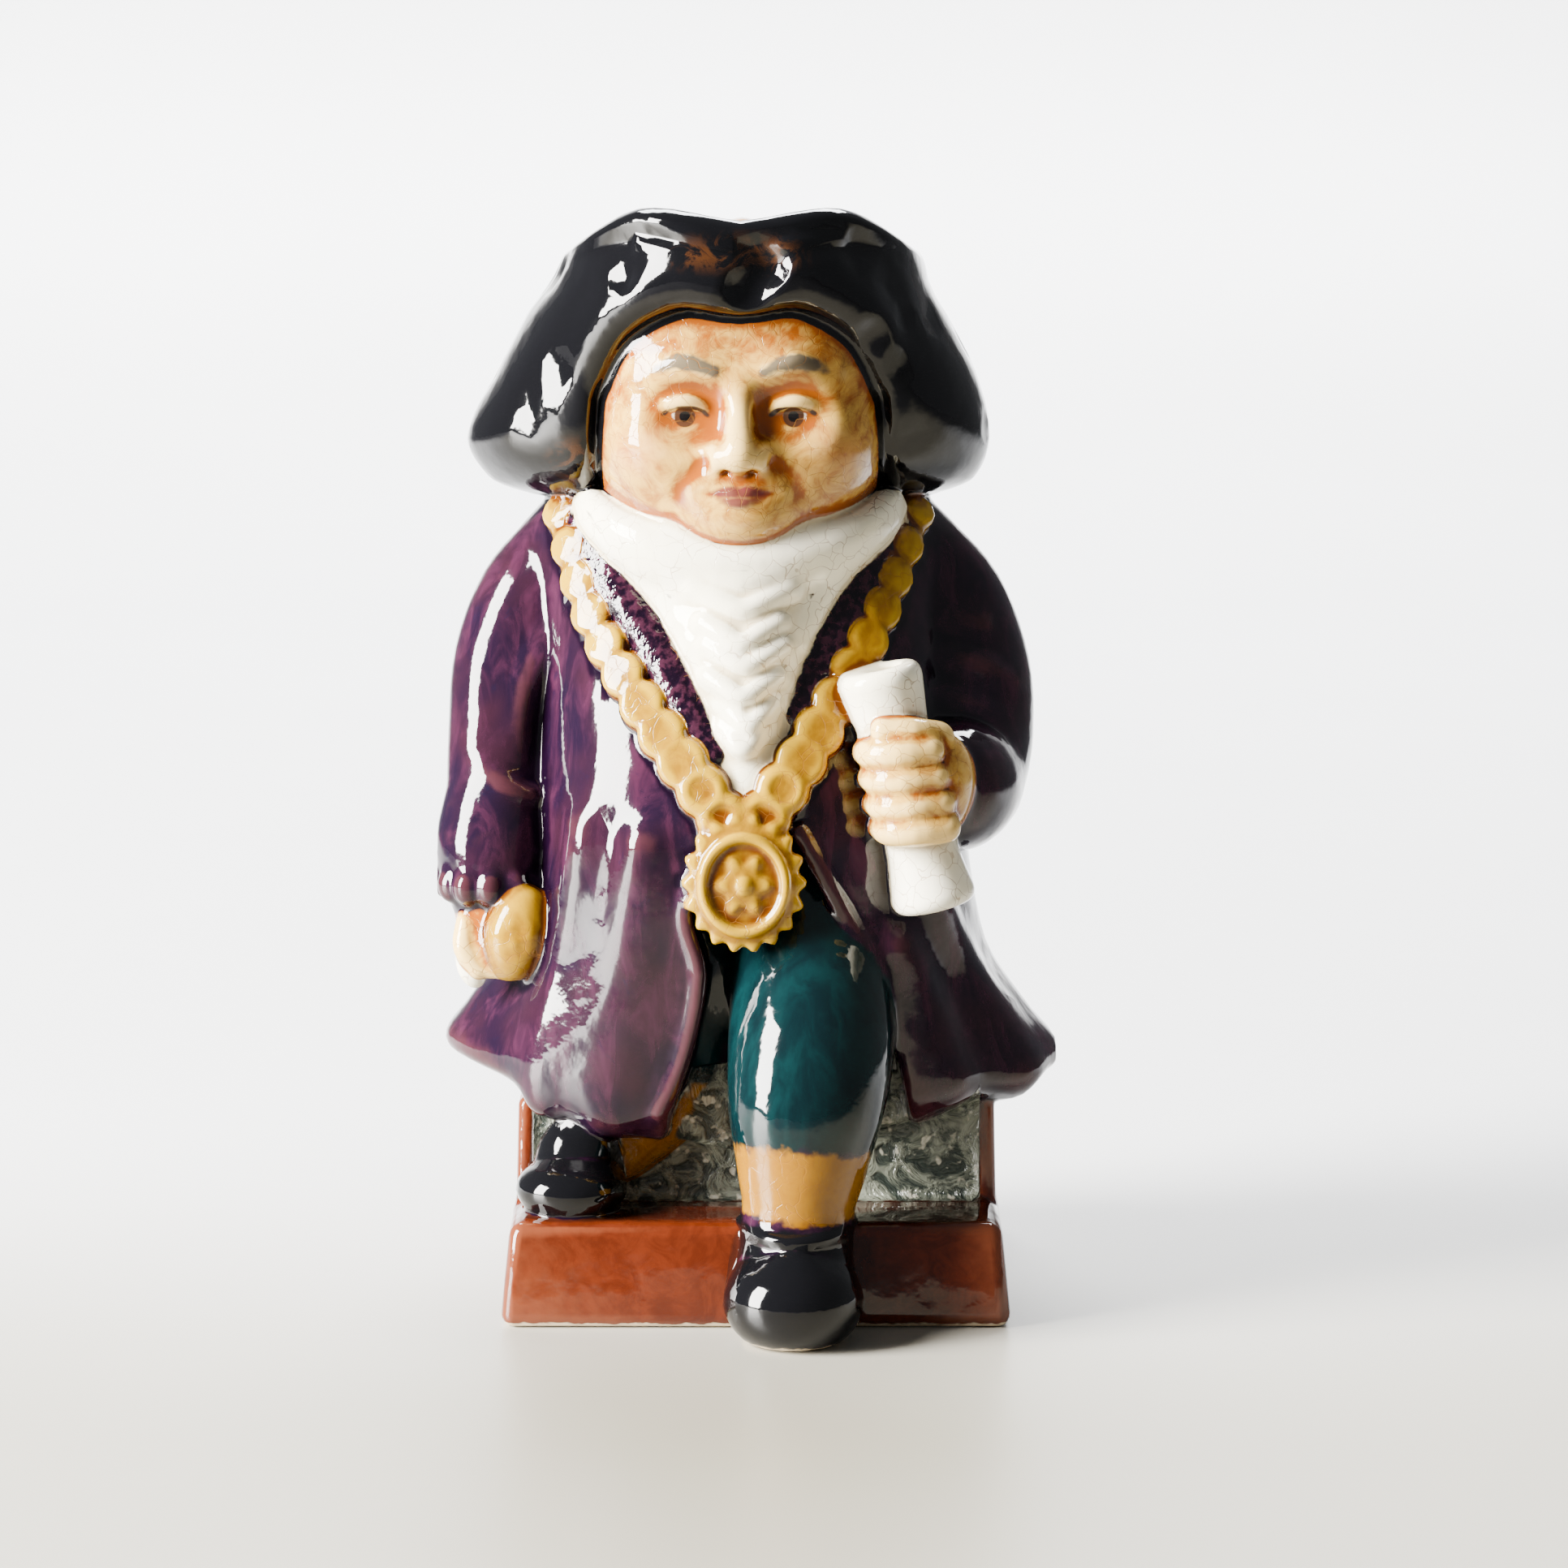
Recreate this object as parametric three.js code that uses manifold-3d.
// A toby jug: a glazed earthenware jug in the form of a stout mayor who steps off a block.
// It was slip-cast as one piece, with the handle joined on before firing, so it is one solid.
// Millimetres, +Z up, the figure faces -Y. The origin is the middle of the plinth's underside.
import * as THREE from "three";
import { mergeVertices } from "three/addons/utils/BufferGeometryUtils.js";
import Module from "manifold-3d";

// ---- Driving dimensions -------------------------------------------------------------------
const PLINTH = { halfWidth: 43.6, halfDepth: 41, height: 18, batter: 1.8, corner: 3.5 };
const BLOCK = { halfWidth: 41.7, front: -21, back: 38, top: 36, post: 3.4, recess: 1.3 };
const WALL = 5.5; // thickness of the cast wall under the plinth and round it
const HEM = { z: 27, sideRise: 12, backRise: 5, leftRise: 3, fadeOut: 34 };
const BODY_X = -1.5; // the figure stands a little to its right of the plinth's middle
const HEAD_X = -2.7;

// Horizontal sections of the coat: height, middle in X, half width, reach forwards and backwards.
const COAT = [
  { z: 27, x: 1.0, half: 43, front: 30, back: 37 },
  { z: 34, x: -0.5, half: 53, front: 34.5, back: 41 },
  { z: 46, x: -1.5, half: 48, front: 36, back: 38.5 },
  { z: 58, x: BODY_X, half: 42, front: 37, back: 35 },
  { z: 72, x: BODY_X, half: 39, front: 38.5, back: 32 },
  { z: 88, x: BODY_X, half: 37.5, front: 38.5, back: 30 },
  { z: 104, x: BODY_X, half: 36.5, front: 35, back: 29 },
  { z: 118, x: -2.4, half: 36, front: 29, back: 27 },
  { z: 128, x: -3, half: 36, front: 24.5, back: 25 },
  { z: 136, x: -3.2, half: 34.5, front: 19.5, back: 22 },
  { z: 142, x: -3.2, half: 29, front: 13, back: 17 },
];

// Horizontal sections of the hat and the hair under it.
const HAT = [
  { z: 138.5, x: -4, half: 36, front: 13, back: 22 },
  { z: 141.5, x: -4.2, half: 42, front: 21, back: 28 },
  { z: 149, x: -4.8, half: 45.2, front: 28, back: 32 },
  { z: 160, x: -3.4, half: 41.3, front: 32, back: 34.5 },
  { z: 171, x: -3.3, half: 35.6, front: 35.5, back: 35 },
  { z: 178, x: -2.8, half: 32.6, front: 35.5, back: 34 },
  { z: 182, x: -2.4, half: 31.6, front: 34, back: 33 },
  { z: 185.2, x: -2.3, half: 30.6, front: 36.8, back: 33.5 },
  { z: 186.8, x: -2.2, half: 29.2, front: 36, back: 32.6 },
];
// The brim's edge rises to two peaks in front and lies lower round the sides and the back.
const BRIM = { from: 170, peak: 2.8, peakAngle: 0.44, peakWidth: 0.36, droop: 5.4, front: 0.45, side: 1.5 };
// The arch in the hair that leaves the face free.
const FACE = { half: 24.5, top: 172.5, brow: 160, jaw: 133, depth: -20 };

// The hollow that holds the drink, from its floor up to the open mouth inside the brim.
const HOLLOW = [
  { z: 11, x: 0, half: 35, front: 15, back: 32 },
  { z: 30, x: 0, half: 36, front: 15, back: 32.5 },
  { z: 37, x: -1, half: 37, front: 16, back: 33 },
  { z: 50, x: -1.5, half: 40, front: 18, back: 33 },
  { z: 64, x: BODY_X, half: 35.5, front: 19, back: 29.5 },
  { z: 78, x: BODY_X, half: 33.5, front: 20, back: 26.5 },
  { z: 92, x: BODY_X, half: 32.5, front: 29, back: 25 },
  { z: 108, x: BODY_X, half: 31.5, front: 28.5, back: 24 },
  { z: 122, x: -2.4, half: 29, front: 22, back: 21.5 },
  { z: 133, x: HEAD_X, half: 22, front: 18.5, back: 15.5 },
  { z: 143, x: HEAD_X, half: 25, front: 18.5, back: 20 },
  { z: 156, x: HEAD_X, half: 29, front: 20.5, back: 28.5 },
  { z: 168, x: -2.6, half: 29.5, front: 26, back: 29.5 },
  { z: 178, x: -2.4, half: 27, front: 29.5, back: 28.5 },
  { z: 184, x: -2, half: 25, front: 31, back: 28.5 },
  { z: 194, x: -1.8, half: 26, front: 33, back: 30.5 },
];
const FULLNESS = 2.3; // exponent of the sections' outline: 2 is an ellipse, more is squarer

// ---- Geometry helpers ---------------------------------------------------------------------
const vec = (x, y, z) => new THREE.Vector3(x, y, z);

// One field of a table of sections at height z, along a smooth curve through its rows.
function between(rows, z, field) {
  const last = rows.length - 1;
  const at = THREE.MathUtils.clamp(z, rows[0].z, rows[last].z);
  let i = 0;
  while (i < last - 1 && at > rows[i + 1].z) i += 1;
  const slope = (k) => {
    const [a, b] = [rows[Math.max(k - 1, 0)], rows[Math.min(k + 1, last)]];
    return (b[field] - a[field]) / (b.z - a.z);
  };
  const span = rows[i + 1].z - rows[i].z;
  const t = (at - rows[i].z) / span;
  const [square, cube] = [t * t, t * t * t];
  const hermite = [2 * cube - 3 * square + 1, cube - 2 * square + t, 3 * square - 2 * cube, cube - square];
  const terms = [rows[i][field], slope(i) * span, rows[i + 1][field], slope(i + 1) * span];
  return hermite.reduce((sum, h, k) => sum + h * terms[k], 0);
}

// The section's outline point at angle a, measured from the front towards +X.
function onSection(rows, z, a) {
  const [s, c] = [Math.sin(a), Math.cos(a)];
  const reach = between(rows, z, c > 0 ? "front" : "back");
  const r = (Math.abs(s) ** FULLNESS + Math.abs(c) ** FULLNESS) ** (-1 / FULLNESS);
  return vec(between(rows, z, "x") + between(rows, z, "half") * s * r, -reach * c * r, z);
}

// Where the coat's front lies, in Y, behind the point (x, z).
function coatFront(x, z) {
  const off = Math.abs(x - between(COAT, z, "x")) / between(COAT, z, "half");
  return -between(COAT, z, "front") * Math.max(1 - off ** FULLNESS, 0) ** (1 / FULLNESS);
}

// The closed skin over a stack of rings of equally many points, with a flat fan at each end.
function skin(rings) {
  const count = rings[0].length;
  const middle = (ring) => ring.reduce((sum, p) => sum.add(p), vec(0, 0, 0)).divideScalar(count);
  const points = [...rings.flat(), middle(rings[0]), middle(rings.at(-1))];
  const [first, last] = [points.length - 2, points.length - 1];
  const faces = [];
  for (let i = 0; i < count; i += 1) {
    const j = (i + 1) % count;
    faces.push(first, j, i, last, (rings.length - 1) * count + i, (rings.length - 1) * count + j);
    for (let row = 0; row < rings.length - 1; row += 1) {
      const [low, high] = [row * count, (row + 1) * count];
      faces.push(low + i, low + j, high + j, low + i, high + j, high + i);
    }
  }
  return new THREE.BufferGeometry().setFromPoints(points).setIndex(faces);
}

// A body of the given sections, with its rings at the heights asked for.
function sectioned(rows, heights, sides, shift = () => 0) {
  const angle = (i) => (2 * Math.PI * i) / sides;
  const point = (z, a) => onSection(rows, z, a).add(vec(0, 0, shift(z, a)));
  return skin(heights.map((z) => Array.from({ length: sides }, (_, i) => point(z, angle(i)))));
}

const steps = (from, to, count) =>
  Array.from({ length: count + 1 }, (_, i) => THREE.MathUtils.lerp(from, to, i / count));

// A round limb through knots of [x, y, z, radius], with rounded ends.
function limb(knots, sides = 10, perSpan = 3) {
  const curve = new THREE.CatmullRomCurve3(knots.map(([x, y, z]) => vec(x, y, z)));
  const rows = knots.map((k, i) => ({ z: i, r: k[3] }));
  const count = (knots.length - 1) * perSpan;
  const frames = curve.computeFrenetFrames(count);
  const at = (i) => curve.getPoint(i / count);
  const ring = (i, r, along) =>
    Array.from({ length: sides }, (_, k) => {
      const a = (2 * Math.PI * k) / sides;
      const out = frames.normals[i].clone().multiplyScalar(Math.cos(a));
      out.addScaledVector(frames.binormals[i], Math.sin(a));
      return at(i).addScaledVector(out, r).addScaledVector(frames.tangents[i], along);
    });
  const radius = (i) => between(rows, i / perSpan, "r");
  const dome = (i, way, c) => ring(i, radius(i) * c, way * radius(i) * Math.sqrt(1 - c * c));
  const cap = (i, way) => [0.5, 0.87].map((c) => dome(i, way, c));
  const along = Array.from({ length: count + 1 }, (_, i) => ring(i, radius(i), 0));
  return skin([...cap(0, -1), ...along, ...cap(count, 1).reverse()]);
}

// An ellipsoid at (x, y, z) with radii (a, b, c), leaning by the given angles.
function ball([x, y, z], [a, b, c], round = 14, lean = [0, 0, 0]) {
  const shape = new THREE.SphereGeometry(1, round, Math.ceil(round * 0.6)).rotateX(Math.PI / 2);
  shape.scale(a, b, c);
  shape.applyMatrix4(new THREE.Matrix4().makeRotationFromEuler(new THREE.Euler(...lean)));
  return shape.translate(x, y, z);
}

// A block with battered sides and softened edges: rings of a rounded rectangle.
function softBlock(halfX, low, high, bottom, top, batter, corner) {
  const levels = [
    [bottom, 0.8],
    [bottom + 1.2, 0],
    [top - 2.2, batter * 0.8],
    [top - 0.7, batter + 0.5],
    [top, batter + 2.2],
  ];
  const [y, halfY] = [(low + high) / 2, (high - low) / 2];
  const ring = ([z, inset]) => {
    const centres = [[1, 1], [-1, 1], [-1, -1], [1, -1]];
    return centres.flatMap(([sx, sy], k) =>
      steps(0, Math.PI / 2, 2).map((a) => {
        const turn = a + (k * Math.PI) / 2;
        const cx = sx * (halfX - inset - corner);
        const cy = sy * (halfY - inset - corner);
        return vec(cx + corner * Math.cos(turn), y + cy + corner * Math.sin(turn), z);
      }),
    );
  };
  return skin(levels.map(ring));
}

// A prism in Y of an outline drawn in X and Z.
function upright(outline, front, back) {
  const shape = new THREE.Shape(outline.map(([x, z]) => new THREE.Vector2(x, z)));
  const prism = new THREE.ExtrudeGeometry(shape, { depth: back - front, bevelEnabled: false });
  return prism.rotateX(Math.PI / 2).translate(0, back, 0);
}

// Turns a shape that faces +Z to face out of the coat's front at (x, z), sunk in by the given depth.
function ontoCoat(shape, x, z, sunk = 0) {
  const d = 1;
  const across = vec(2 * d, coatFront(x + d, z) - coatFront(x - d, z), 0).normalize();
  const up = vec(0, coatFront(x, z + d) - coatFront(x, z - d), 2 * d).normalize();
  const out = across.clone().cross(up).normalize();
  const basis = new THREE.Matrix4().makeBasis(across, out.clone().cross(across), out);
  const spot = vec(x, coatFront(x, z), z).addScaledVector(out, -sunk);
  return shape.applyMatrix4(basis.setPosition(spot));
}

// ---- The jug's forms ----------------------------------------------------------------------
function plinth() {
  const { halfWidth, halfDepth, height, batter, corner } = PLINTH;
  const slab = softBlock(halfWidth, -halfDepth, halfDepth, 0, height, batter, corner);
  const step = softBlock(BLOCK.halfWidth, BLOCK.front, BLOCK.back, height - 4, BLOCK.top, 0.6, 3);
  return [slab, step];
}

function rockPanel() {
  const half = BLOCK.halfWidth - BLOCK.post;
  const [low, high] = [PLINTH.height + 0.4, BLOCK.top + 4];
  const corners = [[-half, low], [half, low], [half, high], [-half, high]];
  return upright(corners, BLOCK.front - 3, BLOCK.front + BLOCK.recess);
}

// The hem hangs lowest in front and rises over the hips and the back.
function hemRise(z, a) {
  const fade = THREE.MathUtils.clamp(1 - (z - HEM.z) / HEM.fadeOut, 0, 1);
  const side = Math.sin(a) ** 2 * (HEM.sideRise - HEM.leftRise * Math.sin(a));
  const back = Math.max(-Math.cos(a), 0) ** 2 * HEM.backRise;
  return fade * (side + back);
}

function coat() {
  return sectioned(COAT, [27, 30, 34, 40, 47, 58, 72, 88, 104, 118, 128, 136, 142], 26, hemRise);
}

// The wedge between the coat's two front edges, where the legs come out.
function frontOpening() {
  const buttoned = [[-16.9, 22], [-11, 46], [-8.4, 60], [-11.8, 71], [-9, 82]];
  const swept = [[7.4, 87], [14.9, 70.6], [21.2, 58], [24.6, 46], [26, 34], [27, 22]];
  return upright([...buttoned, ...swept], -60, -25);
}

function legs() {
  const thigh = [[8, -20, 66, 13], [9.3, -29, 56, 14], [9, -38, 44, 13.2]];
  const forward = limb([...thigh, [8, -42, 30, 11.2], [7, -43, 18, 8.6]], 10, 2);
  const behind = limb([[-6, -19, 62, 8], [-12, -18, 40, 7.5], [-21, -18, 28, 7]], 7, 1);
  const frontShoe = ball([6.3, -45.5, 9.6], [11.2, 16.5, 9.6], 11);
  const sole = softBlock(9.8, -59.5, -36, 0, 7, 0.4, 8.6).translate(6.3, 0, 0);
  const backShoe = ball([-30, -26, 22.5], [9.6, 12, 8.2], 9);
  return [forward, behind, frontShoe, sole, backShoe];
}

function arms() {
  const straight = [[-34, -1, 125, 9], [-42.5, -4, 110, 9.7], [-44, -8, 92, 9.2], [-44.6, -12, 78, 8.2]];
  const hanging = limb(straight, 10, 2);
  const cuff = limb([[-45, -11, 83, 9.9], [-45.2, -12.6, 76, 9.8]], 10, 1);
  const elbow = [[28, -2, 124, 9.5], [35.5, -3, 110, 11.4], [36.3, -8, 95, 11.6], [34.5, -19, 90.5, 11]];
  const bent = limb(elbow, 10, 2);
  const turnback = limb([[34.6, -20, 90.5, 11.2], [32.5, -25.5, 90.8, 11]], 10, 1);
  return [hanging, cuff, bent, turnback];
}

function hands() {
  const palm = ball([-44.6, -15, 64.5], [6.8, 6.8, 8.4], 9);
  const pouch = ball([-40.8, -20, 62.3], [5.7, 6, 7.2], 10, [0, 0.25, 0]);
  const fist = ball([27.5, -33.5, 92.5], [8.8, 7.5, 10.3], 10);
  const fingers = [98.7, 94.3, 89.8, 85.6].map((z, i) => {
    const knuckle = [27 + i, -39.5, z, 2.7];
    const bend = [20.4 + i * 0.9, -38.4, z - 0.4, 2.6];
    const tip = [18.9 + i * 0.9, -34, z - 0.4, 2.5];
    return limb([knuckle, bend, tip], 5, 1);
  });
  return [palm, pouch, fist, ...fingers];
}

function scroll() {
  const [top, foot] = [vec(20.4, -33.5, 112.8), vec(31, -32.5, 71.4)];
  const length = top.distanceTo(foot);
  const flare = [[5.9, 0], [6.9, 1.2], [6.1, 0.24 * length], [5, 0.5 * length], [5.8, 0.76 * length]];
  const waist = [[0, 0], ...flare, [7.3, length - 1.4], [6.2, length], [0, length]];
  const roll = new THREE.LatheGeometry(waist.map(([r, h]) => new THREE.Vector2(r, h)), 12);
  const turn = new THREE.Quaternion().setFromUnitVectors(vec(0, 1, 0), top.clone().sub(foot).normalize());
  return [roll.applyQuaternion(turn).translate(...foot)];
}

function head() {
  const x = HEAD_X;
  const pair = (make) => [-1, 1].map(make);
  const skull = ball([x, -9.5, 153.5], [24.6, 25.5, 20.5], 14);
  const cheeks = pair((side) => ball([x + side * 12.5, -22, 147], [10.5, 8.4, 9], 10));
  const temples = pair((side) => ball([x + side * 12, -18, 159], [11.5, 10.5, 11], 9));
  const chin = ball([x, -29.6, 139.2], [9, 6.6, 6], 10);
  const nose = limb([[x, -32.4, 160, 2.2], [x, -36, 153.4, 2.9], [x, -37.6, 149.2, 3.7]], 8, 1);
  const wings = pair((side) => ball([x + side * 4, -35, 148.3], [2.3, 2.6, 2.1], 6));
  const brow = (side) => limb([[x + side * 4, -33.8, 160.8, 1.5], [x + side * 14, -29.6, 161, 1.3]], 6, 1);
  const eyes = pair((side) => ball([x + side * 9, -31.6, 155.6], [4.3, 2.2, 2.1], 8));
  const lips = [143.2, 141.5].map((z) => ball([x, -34.4, z], [5.4, 2, 1.15], 8));
  return [skull, ...cheeks, ...temples, chin, nose, ...wings, ...pair(brow), ...eyes, ...lips];
}

// A neckcloth wound round the neck, with one fold that hangs under the jaw and a ruffled fall in front.
function cravat() {
  const stock = ball([HEAD_X, -7, 135], [29, 22, 6.5], 12);
  const side = (way) => [[HEAD_X + way * 26, -12, 137.5, 3.4], [HEAD_X + way * 16.5, -22.6, 130.5, 4.4]];
  const fold = limb([...side(-1), [HEAD_X, -28.5, 126.5, 5.4], ...side(1).reverse()], 7, 2);
  const chest = [[-2.6, -16.5, 131, 14], [-2.4, -23.5, 119, 12.4], [-1.5, -31, 106, 7.5], [-1, -34, 95, 4]];
  const fall = limb(chest, 10, 1);
  const ruffle = (i) => ball([-2.4 + i * 0.2, -34.8 - i * 0.7, 127 - i * 5.4], [6.8 - i * 0.4, 3, 2.7], 7);
  return [stock, fold, fall, ...[0, 1, 2, 3, 4, 5].map(ruffle)];
}

function lapels() {
  const sides = [
    [[-30.5, 135], [-18, 117], [-7.5, 99]],
    [[22, 133], [15, 120.5], [7, 106]],
  ];
  const onChest = ([x, z], i) => [x, coatFront(x, z) + 0.6, z, 3.4 - i * 0.2];
  return sides.map((line) => limb(line.map(onChest), 7, 2));
}

// The chain of office: flat round links, and the scalloped badge where its two strands meet.
const STRANDS = [
  [[-31.5, 135.5], [-27, 119], [-16.5, 102.5], [-5, 87.5]],
  [[26, 135.5], [19.5, 118], [11.2, 103], [1.2, 87.5]],
];
const LINK = { count: 9, small: 3.2, large: 4.4, depth: 3.6 };
const BADGE = { x: -1.9, z: 76.9, halfWidth: 10, halfHeight: 11.6, scallops: 18, depth: 0.55 };

function chain() {
  return STRANDS.flatMap((knots) => {
    const line = new THREE.SplineCurve(knots.map((k) => new THREE.Vector2(...k)));
    return line.getSpacedPoints(LINK.count - 1).map(({ x, y: z }, i) => {
      const radius = THREE.MathUtils.lerp(LINK.small, LINK.large, i / (LINK.count - 1));
      const disc = new THREE.CylinderGeometry(radius * 0.86, radius, LINK.depth, 8).rotateX(Math.PI / 2);
      return ontoCoat(disc, x, z, 0.2);
    });
  });
}

function badge() {
  const { x, z, halfWidth, halfHeight, scallops, depth } = BADGE;
  const points = steps(0, 2 * Math.PI, scallops * 2).slice(0, -1).map((a) => {
    const lobe = 1 + (depth / halfWidth) * Math.cos(a * scallops);
    return new THREE.Vector2(halfWidth * lobe * Math.cos(a), halfHeight * lobe * Math.sin(a));
  });
  const plate = new THREE.ExtrudeGeometry(new THREE.Shape(points), { depth: 5, bevelEnabled: false });
  const rim = new THREE.TorusGeometry(1, 0.13, 4, 16).scale(7, 8.6, 7).translate(0, 0, 5);
  const boss = new THREE.SphereGeometry(1, 8, 5).scale(3.6, 4.4, 1.8).translate(0, 0, 4.6);
  return [plate, rim, boss].map((shape) => ontoCoat(shape, x, z, 1.2));
}

function brimLift(z, a) {
  const turn = Math.abs(a > Math.PI ? a - 2 * Math.PI : a);
  const peaks = BRIM.peak * Math.exp(-(((turn - BRIM.peakAngle) / BRIM.peakWidth) ** 2));
  const reach = THREE.MathUtils.clamp((z - BRIM.from) / (HAT.at(-1).z - BRIM.from), 0, 1);
  return reach * (peaks - BRIM.droop * THREE.MathUtils.smoothstep(turn, BRIM.front, BRIM.side));
}

// The hair in front of the face, which is cut away: an arch over the brow, open under the jaw.
function faceOpening() {
  const { half, top, brow, jaw, depth } = FACE;
  const rise = top - brow;
  const arch = steps(0, Math.PI, 8).map((a) => [HEAD_X + half * Math.cos(a), brow + rise * Math.sin(a)]);
  return upright([...arch, [HEAD_X - half, jaw], [HEAD_X + half, jaw]], -60, depth);
}

function hat() {
  const levels = [138.5, 141, 149, 155, 162, 170, 177, 181.5, 185.2, 186.8];
  return sectioned(HAT, levels, 24, brimLift);
}

function foreheadRoll() {
  const side = (way) => [
    [HEAD_X + way * 26, -19, 158, 4.5],
    [HEAD_X + way * 19.5, -27, 169.6, 5],
  ];
  return limb([...side(-1), [HEAD_X, -32.6, 175.6, 5], ...side(1).reverse()], 8, 2);
}

function handle() {
  const path = new THREE.CatmullRomCurve3([
    vec(HEAD_X, 28, 175), vec(HEAD_X, 42, 179.2), vec(HEAD_X, 57, 172), vec(HEAD_X, 64, 154),
    vec(HEAD_X, 62, 128), vec(HEAD_X, 52, 104), vec(HEAD_X, 40, 88), vec(HEAD_X, 28, 80),
  ]);
  const section = new THREE.Shape().absellipse(0, 0, 4.4, 5.2, 0, 2 * Math.PI);
  const sweep = { steps: 14, curveSegments: 5, extrudePath: path, bevelEnabled: false };
  return new THREE.ExtrudeGeometry(section, sweep);
}

// ---- Joining and cutting ------------------------------------------------------------------
const wasm = await Module();
wasm.setup();

function solid(geometry) {
  const bare = geometry.index ? geometry.toNonIndexed() : geometry.clone();
  for (const name of Object.keys(bare.attributes)) if (name !== "position") bare.deleteAttribute(name);
  const merged = mergeVertices(bare, 1e-4);
  const triVerts = new Uint32Array(merged.index.array);
  const vertProperties = merged.attributes.position.array;
  const made = new wasm.Manifold(new wasm.Mesh({ numProp: 3, vertProperties, triVerts }));
  if (made.volume() > 0) return made;
  const turned = triVerts.slice();
  for (let i = 0; i < turned.length; i += 3) turned.subarray(i, i + 3).reverse();
  return new wasm.Manifold(new wasm.Mesh({ numProp: 3, vertProperties, triVerts: turned }));
}

// The tank under the block: the plinth is as hollow as the figure, and the drink stands in it too.
function plinthHollow() {
  const inner = PLINTH.halfWidth - PLINTH.batter - WALL;
  const deep = PLINTH.halfDepth - WALL;
  const low = softBlock(inner, -deep, deep, WALL, PLINTH.height - WALL, 0, 3);
  const high = softBlock(inner, BLOCK.front + WALL, BLOCK.back - WALL, WALL, BLOCK.top - 4, 0, 3);
  return [low, high];
}

const joined = (shapes) => shapes.map(solid).reduce((sum, s) => sum.add(s));

function jug() {
  const dressed = solid(coat()).subtract(solid(frontOpening()));
  const base = joined(plinth()).subtract(solid(rockPanel()));
  const body = joined([...legs(), ...arms(), ...hands(), ...scroll()]);
  const figure = joined([...head(), ...cravat(), ...lapels()]);
  const hair = solid(hat()).subtract(solid(faceOpening()));
  const trim = joined([...chain(), ...badge(), foreheadRoll(), handle()]);
  const levels = [11, 37, 50, 66, 84, 104, 122, 133, 143, 156, 170, 184, 194];
  const hollow = sectioned(HOLLOW, levels, 16);
  const whole = [dressed, body, hair, figure, trim].reduce((sum, form) => sum.add(form), base);
  return whole.subtract(joined([hollow, ...plinthHollow()]));
}

function asMesh(name, made, material) {
  const { vertProperties, triVerts } = made.getMesh();
  const geometry = new THREE.BufferGeometry();
  geometry.setAttribute("position", new THREE.BufferAttribute(vertProperties, 3));
  geometry.setIndex(new THREE.BufferAttribute(triVerts, 1));
  const mesh = new THREE.Mesh(geometry, material);
  mesh.name = name;
  return mesh;
}

const glaze = new THREE.MeshStandardMaterial({ color: 0x4a2a48, roughness: 0.15, metalness: 0 });
const group = new THREE.Group();
group.add(asMesh("toby_jug", jug(), glaze));

export default group;
